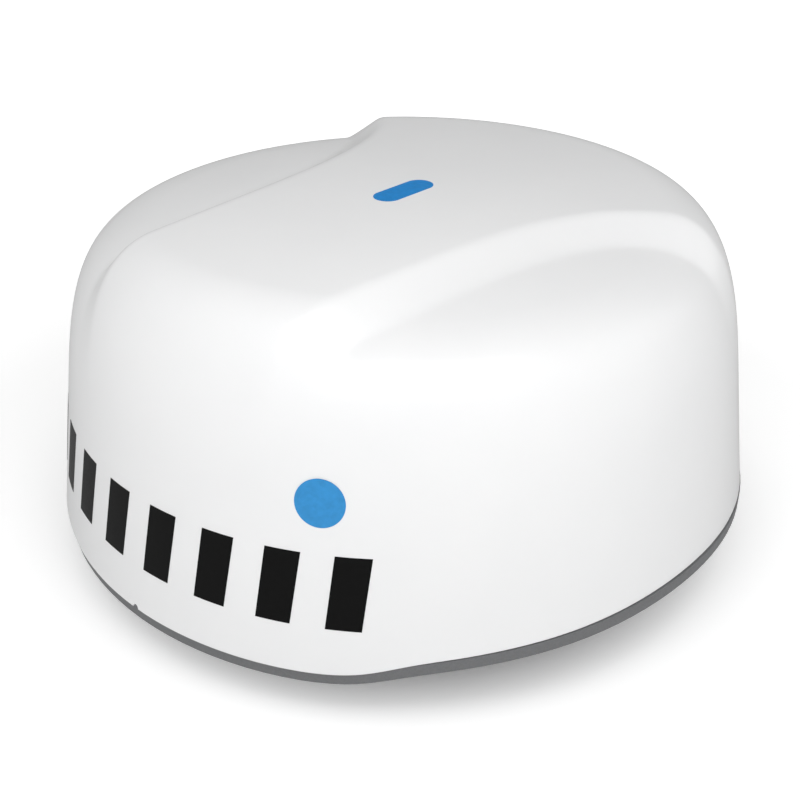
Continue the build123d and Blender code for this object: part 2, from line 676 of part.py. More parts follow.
with BuildPart() as array_screws:
    with BuildSketch(Plane.XZ.offset(17.9)):
        with Locations(*array_screw_places):
            Circle(3.2)
    extrude(amount=-2.4)
    with BuildSketch(Plane.XZ.offset(17.9)):
        with Locations(*array_screw_places):
            Circle(1.6)
    extrude(amount=8)
name_and_export(array_screws, "array_screws")

# semi-rigid feed from the rotary joint to the back of the array
with BuildPart() as feed_line:
    add(lead([(0, 0, 112.05), (0, -1.5, 132), (0, -12, 141), (0, -25.4, 142)], (0, 0, 1), (0, -1, 0), 2))
name_and_export(feed_line, "feed_line")

with BuildPart() as feed_probe:
    with BuildSketch(Plane.XZ.offset(25.5)):
        with Locations((0, 142)):
            Circle(6)
    extrude(amount=8.9)
name_and_export(feed_probe, "feed_probe")

with BuildPart() as counterweight:
    add(block(-46, 46, 28, 42, BRACKET_Z + 3, BRACKET_Z + 21))
    fillet(counterweight.edges().filter_by(Axis.Z), 3)
name_and_export(counterweight, "counterweight")

# ---------------------------------------------------------------- motor and belt
with BuildPart() as drive_motor:
    add(block(-21.1, 21.1, MOTOR_Y - 21.1, MOTOR_Y + 21.1, 20, PLATE_Z))
    chamfer(drive_motor.edges().filter_by(Axis.Z), 4)
    add(upright_cylinders([(0, MOTOR_Y)], 11, PLATE_Z, PLATE_Z + 2))
    add(upright_cylinders([(0, MOTOR_Y)], 2.8, 22, 70), mode=Mode.SUBTRACT)
    add(upright_cylinders(motor_screw_places, 1.5, PLATE_Z - 6, PLATE_Z), mode=Mode.SUBTRACT)
    add(block(-27, -21.1, MOTOR_Y - 8, MOTOR_Y + 8, 22, 30))
name_and_export(drive_motor, "drive_motor")

with BuildPart() as motor_screws:
    add(screws(motor_screw_places, 2.75, PLATE_Z + PLATE_T, 3, 1.4, PLATE_Z - 5, 1.3))
name_and_export(motor_screws, "motor_screws")

with BuildPart() as motor_shaft:
    add(upright_cylinders([(0, MOTOR_Y)], 2.5, 23, 101))
name_and_export(motor_shaft, "motor_shaft")

with BuildPart() as drive_pulley:
    with BuildSketch(Plane.XY.offset(BELT_LOW - 1)):
        with Locations((0, MOTOR_Y)):
            Circle(PINION_R)
            with PolarLocations(PINION_R, MOTOR_TEETH):
                Circle(0.8, mode=Mode.SUBTRACT)
    extrude(amount=BELT_HIGH - BELT_LOW + 2)
    add(upright_cylinders([(0, MOTOR_Y)], 12.5, BELT_LOW - 2.4, BELT_LOW - 1))
    add(upright_cylinders([(0, MOTOR_Y)], 12.5, BELT_HIGH + 1, BELT_HIGH + 2.4))
    add(upright_cylinders([(0, MOTOR_Y)], 8.5, BELT_LOW - 11, BELT_LOW - 2.4))
    add(upright_cylinders([(0, MOTOR_Y)], 2.5, 60, 110), mode=Mode.SUBTRACT)
    with BuildSketch(Plane.YZ.offset(0)):
        with Locations((MOTOR_Y, BELT_LOW - 6.6)):
            Circle(1.5)
    extrude(amount=12, mode=Mode.SUBTRACT)
name_and_export(drive_pulley, "drive_pulley")


def belt_loop(gap):
    """Closed outline round both pulleys, standing off by gap."""
    with BuildSketch(Plane.XY.offset(BELT_LOW)) as loop:
        Circle(PULLEY_R + gap)
        with Locations((0, MOTOR_Y)):
            Circle(PINION_R + gap)
        make_hull()
    return loop.sketch


with BuildPart() as drive_belt:
    with BuildSketch(Plane.XY.offset(BELT_LOW)):
        add(belt_loop(0.1 + BELT_T))
        add(belt_loop(0.1), mode=Mode.SUBTRACT)
    extrude(amount=BELT_HIGH - BELT_LOW)
name_and_export(drive_belt, "drive_belt")

# ---------------------------------------------------------------- circuit boards
with BuildPart() as main_board:
    add(block(-166, -74, -86, 96, 16, 17.6))
    fillet(main_board.edges().filter_by(Axis.Z), 3)
    add(upright_cylinders(main_board_holes, 1.6, 10, 20), mode=Mode.SUBTRACT)
name_and_export(main_board, "main_board")

with BuildPart() as main_board_parts:
    add(block(-140, -106, -20, 14, 17.6, 20.4))
    add(block(-136, -116, 34, 54, 17.6, 19.6))
    add(block(-150, -136, -52, -32, 17.6, 19.4))
    add(block(-124, -110, -54, -36, 17.6, 19.4))
    add(block(-92, -78, 64, 78, 17.6, 27))
    add(block(-92, -78, -68, -54, 17.6, 27))
    add(block(-88, -78, 0, 20, 17.6, 25))
    with Locations(*[(-150 + 9 * step, 74, 18.4) for step in range(5)]):
        Box(4, 6, 1.6)
    with Locations(*[(-98, -40 + 11 * step, 18.6) for step in range(6)]):
        Box(5, 3, 2)
name_and_export(main_board_parts, "main_board_parts")

with BuildPart() as power_board:
    add(block(74, 166, -86, 70, 16, 17.6))
    fillet(power_board.edges().filter_by(Axis.Z), 3)
    add(upright_cylinders(power_board_holes, 1.6, 10, 20), mode=Mode.SUBTRACT)
name_and_export(power_board, "power_board")

with BuildPart() as power_board_parts:
    add(block(104, 130, -30, -4, 17.6, 33))
    add(block(140, 150, -44, -10, 17.6, 38))
    add(upright_cylinders([(110, 20), (132, 20), (110, 44)], 9, 17.6, 42))
    add(upright_cylinders([(136, 42), (100, -62)], 6, 17.6, 32))
    add(block(116, 134, -72, -54, 17.6, 26))
    add(block(78, 92, 40, 54, 17.6, 27))
    add(block(78, 88, 0, 20, 17.6, 25))
name_and_export(power_board_parts, "power_board_parts")

with BuildPart() as board_screws:
    add(screws(main_board_holes + power_board_holes, 2.6, 17.6, 2, 1.2, 8, 1.2))
name_and_export(board_screws, "board_screws")

# ---------------------------------------------------------------- leads
DOWN = (0, 0, -1)
routes = (
    ("power_lead", 2.6, (0, -1, 0), [(SOCKET_X, 96.9, SOCKET_Z), (SOCKET_X + 4, 87, 17), (52, 83, 26),
                                     (72, 71, 35), (83, 57, 36), (85, 47, 27.1)]),
    ("network_lead", 2.6, (0, -1, 0), [(-SOCKET_X, 96.9, SOCKET_Z), (-SOCKET_X - 4, 87, 16), (-50, 84, 24),
                                       (-72, 84, 38), (-85, 71, 27.1)]),
    ("motor_lead", 2, (-1, 0, 0), [(-27.1, MOTOR_Y, 26), (-42, -104, 32), (-64, -107, 38), (-82, -90, 42),
                                   (-85, -61, 27.1)]),
    ("transceiver_lead", 2, (1, 0, 0), [(62.1, 18, 42), (72, 16, 43), (83, 10, 25.1)]),
    ("signal_lead", 1.6, (-1, 0, 0), [(-62.1, 18, 42), (-72, 16, 43), (-83, 10, 25.1)]),
)
for label, radius, start, points in routes:
    with BuildPart() as cable:
        add(lead(points, start, DOWN, radius))
    name_and_export(cable, label)
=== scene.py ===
import json
from math import cos, hypot, pi, radians, sin

import bpy
import numpy as np
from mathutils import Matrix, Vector


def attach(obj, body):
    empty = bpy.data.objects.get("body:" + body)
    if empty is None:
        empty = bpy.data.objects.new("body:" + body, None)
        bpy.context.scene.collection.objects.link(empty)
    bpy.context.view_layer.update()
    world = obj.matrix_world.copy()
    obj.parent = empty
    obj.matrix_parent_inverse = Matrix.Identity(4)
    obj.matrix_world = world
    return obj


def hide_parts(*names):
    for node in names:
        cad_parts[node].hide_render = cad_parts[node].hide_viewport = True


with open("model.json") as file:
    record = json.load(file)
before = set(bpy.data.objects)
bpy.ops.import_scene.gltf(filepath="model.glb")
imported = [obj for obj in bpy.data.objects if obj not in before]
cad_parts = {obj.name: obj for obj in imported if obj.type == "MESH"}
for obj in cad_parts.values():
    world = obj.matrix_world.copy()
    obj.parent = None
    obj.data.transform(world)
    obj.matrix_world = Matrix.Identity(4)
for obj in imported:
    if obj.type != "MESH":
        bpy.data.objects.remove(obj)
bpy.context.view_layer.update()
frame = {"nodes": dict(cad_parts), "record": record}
nodes = frame["nodes"]

MM = 0.001

# ---------------------------------------------------------------- radome form, millimetres
# x is to port, y to the stern, z up from the underside of the base
HEIGHT = 248.5
RIM_R, RIM_Z = 254.4, 35.3               # foot of the wall, where the rim is lowest
WALL_TOP_R, WALL_TOP_Z = 238.5, 142.7    # end of the drafted wall
CROWN_R, CROWN_DROP = 175.4, 1.5         # edge of the crown; its fall, if carried on to the rim radius
SHOULDER_LOW, SHOULDER_HIGH = 0.43, 0.38    # handles of the shoulder curve, as shares of its chord
SKIN = 4.5                               # thickness of the moulding
WALL_SLOPE = (WALL_TOP_R - RIM_R) / (WALL_TOP_Z - RIM_Z)

# the rim, which arches up amidships
RIM_GAP = 0.3            # the rim stands this far above the flange, on the gasket
RIM_BAND_R, RIM_BAND_H = 243.8, 12       # thicker band inside the rim
RIM_BAND_STEP = 0.7      # slope from the top of that band to the inside of the wall
RIM_ROUND = 1.2
RIM_CHAMFER = 0.5
NOTCH_R = 3              # half-round notch at the bow
# rise of the rim at distances from amidships, and amidships
RIM_RISE = [(270, 0), (248, 0), (228, 0.1), (205, 2.7), (186, 9.2), (163, 13.3), (100, 17.5)]
RIM_ARCH = 21.5

# recesses port and starboard of the raised fore-and-aft band
RECESS_DEPTH = 14
RECESS_FALL, RECESS_FALL_R = 2, 120      # further depth at the edge of the crown; radius where it starts
RECESS_STEP = 32         # width of the sloping side of the band
RECESS_EASE = 0.24       # share of that width taken by the rounding at each end of the slope
RECESS_LOW, RECESS_HIGH = 75.5, 36.5     # handles of the recess's own shoulder curve
RECESS_LEAN = 0.12       # slope of that curve where it leaves the crown
PORT_EDGE = [(96, -262), (100, -190), (104, -115), (108, -50), (115, 0), (131, 44), (149, 66),
             (173, 80), (208, 88), (262, 90)]
STARBOARD_EDGE = [(-74, -262), (-79, -190), (-85, -115), (-91, -50), (-99, 10), (-110, 56), (-128, 94),
                  (-156, 122), (-196, 134), (-262, 136)]

# screw posts inside the radome
POST_XY, POST_R, POST_LOW, POST_HIGH = 161.2, 8.5, 50.4, 96
POST_HOLE_R, POST_HOLE_TOP = 4.6, 70
POST_CHAMFER, POST_MOUTH_CHAMFER, POST_TOP_CHAMFER = 0.6, 0.4, 1
WEB_T, WEB_LOW = 5, 62
WEB_ROOT = 1             # the web starts this far outside the hole, within the wall of the post

# fineness of the mesh
BEARING_STEP = 0.75      # degrees between the columns of the shell
NOTCH_COLUMNS = [0, 0.9, 1.8, 2.4, 2.8, 2.98, 3.1]    # columns at the notch, by their distance aside
NOTCH_MARGIN = 0.1       # degrees kept clear between those and the even columns
CROWN_ROWS, SHOULDER_ROWS = 49, 63
OUTER_WALL_ROWS, INNER_WALL_ROWS = 30, 24
ROUND_ANGLES = (22.5, 45, 67.5, 90)      # rows on the rounded foot of the wall
FOOT_PARTS = (0.3, 0.6, 0.9)             # rows across the underside of the rim
EDGE_STEPS = 10          # short runs for each stretch of a band edge
POST_SIDES = 48
SHARP_ANGLE = radians(32)


def eased_ramp(value, ease):
    """Straight slope from 0 to 1 with rounded ends."""
    value = np.clip(value, 0, 1)
    foot = value ** 2 / (2 * ease)
    top = 1 - ease - (1 - value) ** 2 / (2 * ease)
    return np.where(value < ease, foot, np.where(value > 1 - ease, top, value - ease / 2)) / (1 - ease)


def crown_height(r):
    return HEIGHT - CROWN_DROP * (r / RIM_R) ** 2


def shoulder_points():
    """Control points of the shoulder curve, from the top of the wall to the edge of the crown."""
    chord = hypot(WALL_TOP_R - CROWN_R, crown_height(CROWN_R) - WALL_TOP_Z)
    lean = hypot(WALL_TOP_R - RIM_R, WALL_TOP_Z - RIM_Z)
    low = SHOULDER_LOW * chord / lean
    high = SHOULDER_HIGH * chord
    foot = (WALL_TOP_R, WALL_TOP_Z)
    foot_handle = (foot[0] + low * (WALL_TOP_R - RIM_R), foot[1] + low * (WALL_TOP_Z - RIM_Z))
    top_slope = 2 * CROWN_DROP * CROWN_R / RIM_R ** 2
    top = (CROWN_R, crown_height(CROWN_R))
    return np.array([foot, foot_handle, (top[0] + high, top[1] - top_slope * high), top])


def smooth_line(points, steps):
    """Dense points on a smooth curve through a list of points, with steps runs between each two."""
    points = np.array(points, float)
    padded = np.vstack([2 * points[0] - points[1], points, 2 * points[-1] - points[-2]])
    dense = []
    for a, b, c, d in zip(padded, padded[1:], padded[2:], padded[3:]):
        for t in np.arange(steps) / steps:
            bend = 2 * a - 5 * b + 4 * c - d + t * (3 * b - 3 * c + d - a)
            dense.append(b + 0.5 * t * (c - a + t * bend))
    return np.array(dense + [points[-1]])


def edge_distance(points, x, y):
    """Distance in plan to one edge of the raised band, positive on its starboard side."""
    edge = smooth_line(points, EDGE_STEPS)
    nearest, side = np.full(x.shape, np.inf), np.ones(x.shape)
    for (ax, ay), (bx, by) in zip(edge, edge[1:]):
        run_x, run_y = bx - ax, by - ay
        along = np.clip(((x - ax) * run_x + (y - ay) * run_y) / (run_x ** 2 + run_y ** 2), 0, 1)
        gap = np.hypot(x - ax - along * run_x, y - ay - along * run_y)
        closer = gap < nearest
        nearest[closer] = gap[closer]
        side[closer] = np.where(run_x * (y - ay) - run_y * (x - ax) > 0, 1, -1)[closer]
    return nearest * side


def band_distance(x, y):
    """Distance in plan to the nearer edge of the raised band, positive on the band."""
    return np.minimum(edge_distance(PORT_EDGE, x, y), -edge_distance(STARBOARD_EDGE, x, y))


def rim_height(y):
    """Height of the rim line at a place along the boat: a cubic spline, level at both ends."""
    half = [(-d, rise) for d, rise in RIM_RISE]
    knots = np.array(half + [(0, RIM_ARCH)] + [(-d, rise) for d, rise in reversed(half)], float)
    at, rise = knots[:, 0], knots[:, 1]
    width = np.diff(at)
    slopes = np.diff(rise) / width
    count = len(at)
    matrix, right = np.eye(count), np.zeros(count)
    for i in range(1, count - 1):
        matrix[i, i - 1:i + 2] = width[i], 2 * (width[i - 1] + width[i]), width[i - 1]
        right[i] = 3 * (width[i] * slopes[i - 1] + width[i - 1] * slopes[i])
    tangent = np.linalg.solve(matrix, right)
    i = np.clip(np.searchsorted(at, y) - 1, 0, count - 2)
    h = width[i]
    t = (y - at[i]) / h
    value = (rise[i] * (1 + 2 * t) * (1 - t) ** 2 + tangent[i] * h * t * (1 - t) ** 2
             + rise[i + 1] * t * t * (3 - 2 * t) - tangent[i + 1] * h * t * t * (1 - t))
    return RIM_Z + value


def bearings():
    """Directions round the dome, closer together at the bow notch."""
    turn = np.arange(1, round(360 / BEARING_STEP)) * BEARING_STEP
    near = np.degrees(np.arcsin(np.array(NOTCH_COLUMNS) / RIM_R))
    clear = near[-1] + NOTCH_MARGIN
    far = turn[(turn > clear) & (turn < 360 - clear)]
    return np.radians(np.concatenate([near, far, 360 - near[:0:-1]]))


def curve_points(controls, t):
    """Points on a cubic curve, and unit directions towards its last control point."""
    a, b, c, d = controls
    place = a * (1 - t) ** 3 + 3 * b * t * (1 - t) ** 2 + 3 * c * t * t * (1 - t) + d * t ** 3
    run = (b - a) * (1 - t) ** 2 + 2 * (c - b) * t * (1 - t) + (d - c) * t * t
    return place, run / np.hypot(run[:, :1], run[:, 1:])


def recess_points(depth):
    """Control points of the shoulder curve where the recess is fully pressed in."""
    foot, foot_handle, _, top = shoulder_points()
    up_wall = (foot_handle - foot) / np.hypot(*(foot_handle - foot))
    top = top - (0, depth)
    top_handle = top + np.array([1, -RECESS_LEAN]) * RECESS_HIGH
    return np.array([foot, foot + up_wall * RECESS_LOW, top_handle, top])


def profile():
    """Radius, height, normal and move into the recess, from the crown down to the top of the wall."""
    r = np.linspace(0, CROWN_R, CROWN_ROWS + 1)[1:]
    fall = 2 * CROWN_DROP * r / RIM_R ** 2
    size = np.hypot(1, fall)
    outwards = np.maximum(r - RECESS_FALL_R, 0) / (CROWN_R - RECESS_FALL_R)
    depth = RECESS_DEPTH + RECESS_FALL * outwards ** 2
    crown = np.stack([r, crown_height(r), fall / size, 1 / size, np.zeros_like(r), -depth], 1)
    t = np.linspace(1, 0, SHOULDER_ROWS + 1)[1:, None]
    place, run = curve_points(shoulder_points(), t)
    pressed, _ = curve_points(recess_points(depth[-1]), t)
    shoulder = np.hstack([place, run[:, 1:], -run[:, :1], pressed - place])
    return np.vstack([crown, shoulder])


def wall_radius(z):
    return RIM_R + WALL_SLOPE * (z - RIM_Z)


def rim_line(turn, radius_at):
    """Height of the rim at each bearing; radius_at gives the radius of its surface at a height."""
    height = np.full_like(turn, RIM_Z)
    for _ in range(3):    # the height shifts the place on the rim a little, so it's refined
        height = rim_height(-radius_at(height) * np.cos(turn))
    height = height + RIM_GAP
    aside = np.abs(radius_at(height) * np.sin(turn))
    notch = RIM_Z + np.sqrt(np.maximum(NOTCH_R ** 2 - aside ** 2, 0))
    return np.where((np.cos(turn) > 0) & (aside < NOTCH_R), np.maximum(height, notch), height)


def skin_rows(turn, inset):
    """Rows of the dome above the wall, moved inwards by inset, with the recesses pressed in."""
    rows = []
    for r, z, normal_r, normal_z, move_r, move_z in profile():
        x, y = r * np.sin(turn), -r * np.cos(turn)
        press = 1 - eased_ramp(band_distance(x, y) / RECESS_STEP + 0.5, RECESS_EASE)
        rows.append((r + move_r * press - normal_r * inset, z + move_z * press - normal_z * inset))
    return rows


def wall_rows(low, inset, steps):
    """Rows of the drafted wall from its top down to the heights in low."""
    size = hypot(1, WALL_SLOPE)
    rows = []
    for part in np.linspace(0, 1, steps + 1)[1:]:
        z = WALL_TOP_Z + part * (low - WALL_TOP_Z)
        rows.append((wall_radius(z) - inset / size, z + WALL_SLOPE * inset / size))
    return rows


def shell_rows(turn):
    """Every row of the closed shell, from the outer crown round the rim to the inner crown."""
    outer = rim_line(turn, wall_radius)
    inner = rim_line(turn, lambda z: np.full_like(z, RIM_BAND_R))
    rows = skin_rows(turn, 0) + wall_rows(outer + RIM_ROUND, 0, OUTER_WALL_ROWS)
    foot = wall_radius(outer)
    for angle in ROUND_ANGLES:
        inwards, down = RIM_ROUND * (1 - cos(radians(angle))), RIM_ROUND * sin(radians(angle))
        rows.append((foot - inwards, outer + RIM_ROUND - down))
    for part in FOOT_PARTS:
        rows.append((foot + part * (RIM_BAND_R - foot), outer + part * (inner - outer)))
    band = [(RIM_CHAMFER, 0), (0, RIM_CHAMFER), (0, RIM_BAND_H / 2), (0, RIM_BAND_H - RIM_CHAMFER),
            (RIM_CHAMFER, RIM_BAND_H)]
    for outwards, rise in band:
        rows.append((np.full_like(turn, RIM_BAND_R + outwards), inner + rise))
    rows += wall_rows(outer + RIM_BAND_H + RIM_BAND_STEP, SKIN, INNER_WALL_ROWS)[::-1]
    rows += skin_rows(turn, SKIN)[::-1]
    return rows


def add_grid(points, faces, rows, closed_ends):
    """Adds rows of points, joined round and from row to row; closed_ends are the two pole points."""
    start, width = len(points), len(rows[0])
    for row in rows:
        points.extend(row)
    for i in range(len(rows) - 1):
        for j in range(width):
            a, b = start + i * width + j, start + i * width + (j + 1) % width
            faces.append((a, a + width, b + width, b))
    first_pole = len(points)
    points.extend(closed_ends)
    last = start + (len(rows) - 1) * width
    for j in range(width):
        faces.append((first_pole, start + j, start + (j + 1) % width))
        faces.append((first_pole + 1, last + (j + 1) % width, last + j))


def add_post(points, faces, x, y):
    """Blind screw post and the web that ties it to the wall."""
    turn = np.linspace(0, 2 * pi, POST_SIDES + 1)[:-1]
    outline = [(POST_HOLE_R, POST_HOLE_TOP), (POST_HOLE_R, POST_LOW + POST_MOUTH_CHAMFER),
               (POST_HOLE_R + POST_MOUTH_CHAMFER, POST_LOW), (POST_R - POST_CHAMFER, POST_LOW),
               (POST_R, POST_LOW + POST_CHAMFER), (POST_R, POST_HIGH - POST_TOP_CHAMFER),
               (POST_R - POST_TOP_CHAMFER, POST_HIGH)]
    rows = [[(x + r * cos(a), y - r * sin(a), z) for a in turn] for r, z in outline]
    add_grid(points, faces, rows, [(x, y, POST_HOLE_TOP), (x, y, POST_HIGH)])
    out = Vector((x, y, 0)).normalized()
    across = Vector((-out.y, out.x, 0)) * WEB_T / 2
    near = hypot(x, y) + POST_HOLE_R + WEB_ROOT
    section = []
    for z in (WEB_LOW, POST_HIGH):
        far = wall_radius(z) - SKIN / 2
        for reach, side in ((near, -1), (far, -1), (far, 1), (near, 1)):
            section.append(out * reach + across * side + Vector((0, 0, z)))
    start = len(points)
    points.extend(tuple(p) for p in section)
    for quad in ((3, 2, 1, 0), (4, 5, 6, 7), (0, 1, 5, 4), (1, 2, 6, 5), (2, 3, 7, 6), (3, 0, 4, 7)):
        faces.append(tuple(start + k for k in quad))


def make_radome():
    """The radome with its recesses, rim band and screw posts, in place of the plain CAD shell."""
    turn = bearings()
    across, along = np.sin(turn), -np.cos(turn)
    rows = [np.stack([r * across, r * along, z], 1) for r, z in shell_rows(turn)]
    points, faces = [], []
    add_grid(points, faces, rows, [(0, 0, HEIGHT), (0, 0, HEIGHT - SKIN)])
    for x in (-POST_XY, POST_XY):
        for y in (-POST_XY, POST_XY):
            add_post(points, faces, x, y)
    mesh = bpy.data.meshes.new("radome_moulding")
    mesh.from_pydata([[c * MM for c in p] for p in points], [], faces)
    mesh.validate()
    mesh.shade_smooth()
    mesh.set_sharp_from_angle(angle=SHARP_ANGLE)
    radome = bpy.data.objects.new("radome_moulding", mesh)
    bpy.context.scene.collection.objects.link(radome)
    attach(radome, "radome")
    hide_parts("radome_shell")
    return radome


# ---------------------------------------------------------------- materials
class Finish:
    """One procedural material, built up socket by socket. Textures use the row frame, in metres."""

    def __init__(self, name, **sockets):
        self.material = bpy.data.materials.new(name)
        self.material.use_nodes = True
        tree = self.material.node_tree
        self.nodes, self.links = tree.nodes, tree.links
        self.shader = self.nodes["Principled BSDF"]
        self.place = self.nodes.new("ShaderNodeTexCoord").outputs["Object"]
        self.relief = None
        for socket, value in sockets.items():
            self.shader.inputs[socket.replace("_", " ")].default_value = value

    def stretch(self, x, y, z):
        """Coordinates stretched for brushed or drawn surfaces."""
        mapping = self.nodes.new("ShaderNodeMapping")
        mapping.inputs["Scale"].default_value = (x, y, z)
        self.links.new(self.place, mapping.inputs["Vector"])
        return mapping.outputs["Vector"]

    def noise(self, scale, detail=4, place=None):
        node = self.nodes.new("ShaderNodeTexNoise")
        node.inputs["Scale"].default_value = scale
        node.inputs["Detail"].default_value = detail
        self.links.new(place or self.place, node.inputs["Vector"])
        return node.outputs["Fac"]

    def cells(self, scale, feature="F1", place=None):
        node = self.nodes.new("ShaderNodeTexVoronoi")
        node.feature = feature
        node.inputs["Scale"].default_value = scale
        self.links.new(place or self.place, node.inputs["Vector"])
        return node.outputs["Distance"]

    def waves(self, scale, direction, distortion=0):
        node = self.nodes.new("ShaderNodeTexWave")
        node.bands_direction = direction
        node.inputs["Scale"].default_value = scale
        node.inputs["Distortion"].default_value = distortion
        self.links.new(self.place, node.inputs["Vector"])
        return node.outputs["Fac"]

    def product(self, a, b):
        node = self.nodes.new("ShaderNodeMath")
        node.operation = "MULTIPLY"
        self.links.new(a, node.inputs[0])
        self.links.new(b, node.inputs[1])
        return node.outputs["Value"]

    def ramp(self, factor, stops, socket):
        """Sets a socket from a texture or a distance, by stops of position and colour."""
        ramp = self.nodes.new("ShaderNodeValToRGB")
        elements = ramp.color_ramp.elements
        while len(elements) < len(stops):
            elements.new(0.5)
        for element, (position, value) in zip(elements, stops):
            element.position = position
            element.color = (*value, 1)
        self.links.new(factor, ramp.inputs["Fac"])
        self.links.new(ramp.outputs["Color"], self.shader.inputs[socket])

    def colour(self, factor, *stops):
        self.ramp(factor, stops, "Base Color")

    def roughness(self, factor, low, high):
        span = self.nodes.new("ShaderNodeMapRange")
        span.inputs["To Min"].default_value = low
        span.inputs["To Max"].default_value = high
        self.links.new(factor, span.inputs["Value"])
        self.links.new(span.outputs["Result"], self.shader.inputs["Roughness"])

    def bump(self, factor, height, strength=1.0):
        """Relief of a given height in millimetres, laid over any relief that is there already."""
        node = self.nodes.new("ShaderNodeBump")
        node.inputs["Distance"].default_value = height * MM
        node.inputs["Strength"].default_value = strength
        self.links.new(factor, node.inputs["Height"])
        if self.relief:
            self.links.new(self.relief, node.inputs["Normal"])
        self.relief = node.outputs["Normal"]
        self.links.new(self.relief, self.shader.inputs["Normal"])


def shade(colour, part):
    """The colour made darker, or lighter with a part over 1."""
    return tuple(c * part for c in colour)


def gelcoat(name):
    finish = Finish(name, Coat_Weight=0.45, Coat_Roughness=0.05, Specular_IOR_Level=0.4)
    cloud = finish.noise(9, 3)
    finish.colour(cloud, (0.3, (0.865, 0.868, 0.872)), (0.7, (0.89, 0.892, 0.894)))
    finish.roughness(finish.noise(60, 5), 0.26, 0.36)
    finish.bump(finish.noise(240, 2), 0.012)
    return finish.material


def powder_coat(name, colour, worn=1.25):
    finish = Finish(name)
    finish.colour(finish.noise(700, 3), (0.3, shade(colour, 0.92)), (0.7, shade(colour, worn)))
    finish.roughness(finish.noise(90, 4), 0.42, 0.6)
    finish.bump(finish.noise(1500, 3), 0.05)
    return finish.material


def rubber(name, colour):
    finish = Finish(name, Specular_IOR_Level=0.35)
    finish.colour(finish.noise(160, 6), (0.35, shade(colour, 0.75)), (0.75, shade(colour, 1.5)))
    finish.roughness(finish.noise(400, 4), 0.62, 0.85)
    finish.bump(finish.noise(2600, 3), 0.03)
    return finish.material


def moulded_plastic(name, colour, grain=1800, low=0.4, high=0.58):
    finish = Finish(name)
    finish.colour(finish.noise(120, 5), (0.3, shade(colour, 0.85)), (0.72, shade(colour, 1.18)))
    finish.roughness(finish.noise(300, 4), low, high)
    finish.bump(finish.cells(grain), 0.03)
    return finish.material


def turned_metal(name, colour, low=0.18, high=0.36):
    """Metal with fine rings, as left by a lathe."""
    finish = Finish(name, Metallic=1.0)
    lines = finish.noise(6, 2, finish.stretch(20, 20, 900))
    finish.colour(finish.noise(220, 5), (0.3, shade(colour, 0.86)), (0.7, colour))
    finish.roughness(lines, low, high)
    finish.bump(lines, 0.012)
    return finish.material


def brushed_metal(name, colour, low=0.26, high=0.46):
    finish = Finish(name, Metallic=1.0)
    lines = finish.noise(8, 3, finish.stretch(12, 700, 700))
    finish.colour(lines, (0.3, shade(colour, 0.84)), (0.7, shade(colour, 1.05)))
    finish.roughness(lines, low, high)
    finish.bump(lines, 0.01)
    return finish.material


def cast_metal(name, colour, grain=900):
    finish = Finish(name, Metallic=1.0)
    finish.colour(finish.noise(70, 6), (0.3, shade(colour, 0.78)), (0.72, colour))
    finish.roughness(finish.noise(240, 5), 0.45, 0.68)
    finish.bump(finish.noise(grain, 4), 0.1)
    return finish.material


def solder_mask(name, colour):
    """Board with faint tracks under the mask."""
    finish = Finish(name, Coat_Weight=0.5, Coat_Roughness=0.2)
    tracks = finish.product(finish.waves(95, "X", 3), finish.waves(120, "Y", 2.5))
    finish.colour(tracks, (0.2, shade(colour, 0.7)), (0.32, shade(colour, 1.5)), (0.9, shade(colour, 1.1)))
    finish.roughness(finish.noise(300, 4), 0.28, 0.42)
    finish.bump(tracks, 0.03)
    return finish.material


def woven_laminate(name, colour):
    finish = Finish(name)
    weave = finish.product(finish.waves(260, "X", 0.6), finish.waves(260, "Z", 0.6))
    finish.colour(weave, (0.05, shade(colour, 0.72)), (0.8, shade(colour, 1.15)))
    finish.roughness(finish.noise(200, 3), 0.35, 0.5)
    finish.bump(weave, 0.03)
    return finish.material


def printed_film(name, colour):
    finish = Finish(name, Specular_IOR_Level=0.08)
    finish.colour(finish.noise(300, 4), (0.3, shade(colour, 0.93)), (0.7, shade(colour, 1.07)))
    finish.roughness(finish.noise(500, 3), 0.32, 0.46)
    finish.bump(finish.noise(1600, 2), 0.006)
    return finish.material


def drive_belt_rubber(name):
    finish = Finish(name, Specular_IOR_Level=0.3)
    finish.colour(finish.noise(500, 5), (0.3, (0.018, 0.018, 0.019)), (0.75, (0.06, 0.06, 0.06)))
    finish.roughness(finish.noise(900, 3), 0.6, 0.82)
    finish.bump(finish.product(finish.noise(2400, 2), finish.waves(1000, "Z")), 0.06)
    return finish.material


